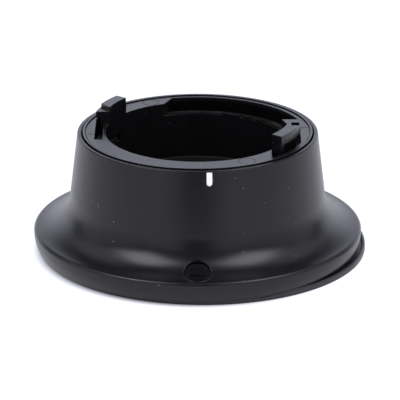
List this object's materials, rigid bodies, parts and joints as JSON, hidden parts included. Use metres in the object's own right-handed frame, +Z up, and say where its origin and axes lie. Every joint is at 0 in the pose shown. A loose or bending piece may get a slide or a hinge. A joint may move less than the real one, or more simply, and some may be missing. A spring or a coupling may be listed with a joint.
{
  "type": "twist lock throat collar of a kitchen disposer",
  "caption": "Flared black twist-lock collar with a turning bayonet ring, hooks for the mating part, a round release button and a rubber deck gasket.",
  "frame": {"origin": "axis of the throat at the face that rests on the deck", "axes": "+Z up along the throat, -Y towards the side with the release button, +X to the right seen from that side"},
  "size_m": [0.1729, 0.1714, 0.072],
  "materials": {
    "shell_plastic": "satin black moulded plastic",
    "ring_plastic": "satin black moulded plastic",
    "inner_plastic": "matt dark grey moulded plastic",
    "mark_paint": "white paint",
    "black_rubber": "matt rubber",
    "steel": "zinc plated steel",
    "spring_steel": "spring steel wire and strip",
    "washer_acetal": "graphite filled black acetal"
  },
  "bodies": {
    "collar_body": {"outer_shell": "shell_plastic", "index_mark": "mark_paint", "deck_gasket": "black_rubber", "base_plate": "inner_plastic", "base_screws": "steel", "throat_sleeve": "inner_plastic", "sleeve_screws": "steel", "bearing_collar": "inner_plastic", "collar_screws": "steel", "thrust_washer": "washer_acetal", "stop_screws": "steel", "wiper_seal": "black_rubber", "button_bezel": "shell_plastic", "button_spring": "spring_steel", "latch_housing": "inner_plastic", "housing_screws": "steel", "pivot_pin": "steel", "pin_clips": "spring_steel", "lever_spring": "spring_steel"},
    "turning_ring": {"lock_ring": "ring_plastic", "snap_ring": "spring_steel"},
    "button": {"release_button": "ring_plastic", "button_plunger": "steel"},
    "lever": {"latch_lever": "inner_plastic"}
  },
  "joints": [
    {"name": "lock_ring_turn", "type": "hinge", "parent": "collar_body", "child": "turning_ring", "pos_m": [0, 0, 0.0637], "axis": [0, 0, 1], "range_deg": [0, 30]},
    {"name": "button_press", "type": "slide", "parent": "collar_body", "child": "button", "axis": [0, 0.4695, -0.8829], "range_m": [0, 0.0018], "stiffness_N_per_m": 800, "springref_m": -0.002, "deforming": ["button_spring"]},
    {"name": "lever_release", "type": "hinge", "parent": "collar_body", "child": "lever", "pos_m": [0, -0.0615, 0.01499], "axis": [1, 0, 0], "range_deg": [0, 7.94], "stiffness_Nm_per_rad": 0.05, "springref_deg": -17.19, "deforming": ["lever_spring"]}
  ],
  "couplings": [
    {"joint": "lever_release", "follows": "button_press", "rad_per_m": 76.923}
  ]
}
